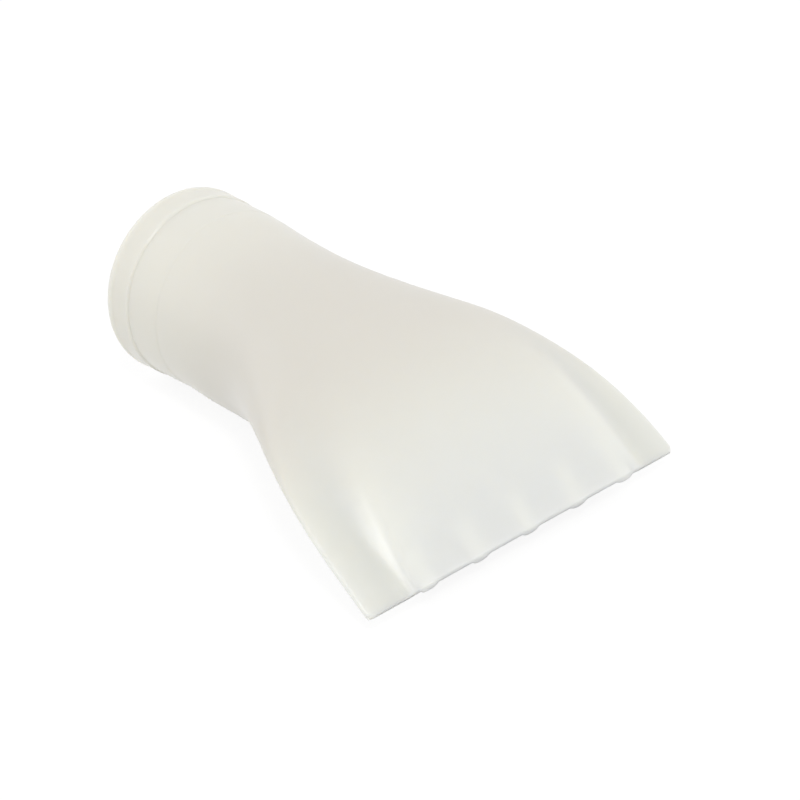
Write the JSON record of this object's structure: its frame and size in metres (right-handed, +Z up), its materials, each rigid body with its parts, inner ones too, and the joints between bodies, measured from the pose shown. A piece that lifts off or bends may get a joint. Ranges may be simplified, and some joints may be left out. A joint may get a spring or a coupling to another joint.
{
  "type": "vacuum cleaner nozzle",
  "caption": "Soft translucent silicone nozzle with a round collar that flares and flattens into a wide, thin, down-bent mouth.",
  "frame": {"origin": "centre of the tube socket's open end, on the collar's axis at the rear rim", "axes": "+X along the collar's axis from the rear rim to the mouth, +Y across the mouth's width, +Z up, with the mouth bent down towards -Z"},
  "size_m": [0.1138, 0.09, 0.0451],
  "materials": {
    "silicone": "satin"
  },
  "bodies": {
    "root": {"nozzle": "silicone"}
  },
  "joints": []
}
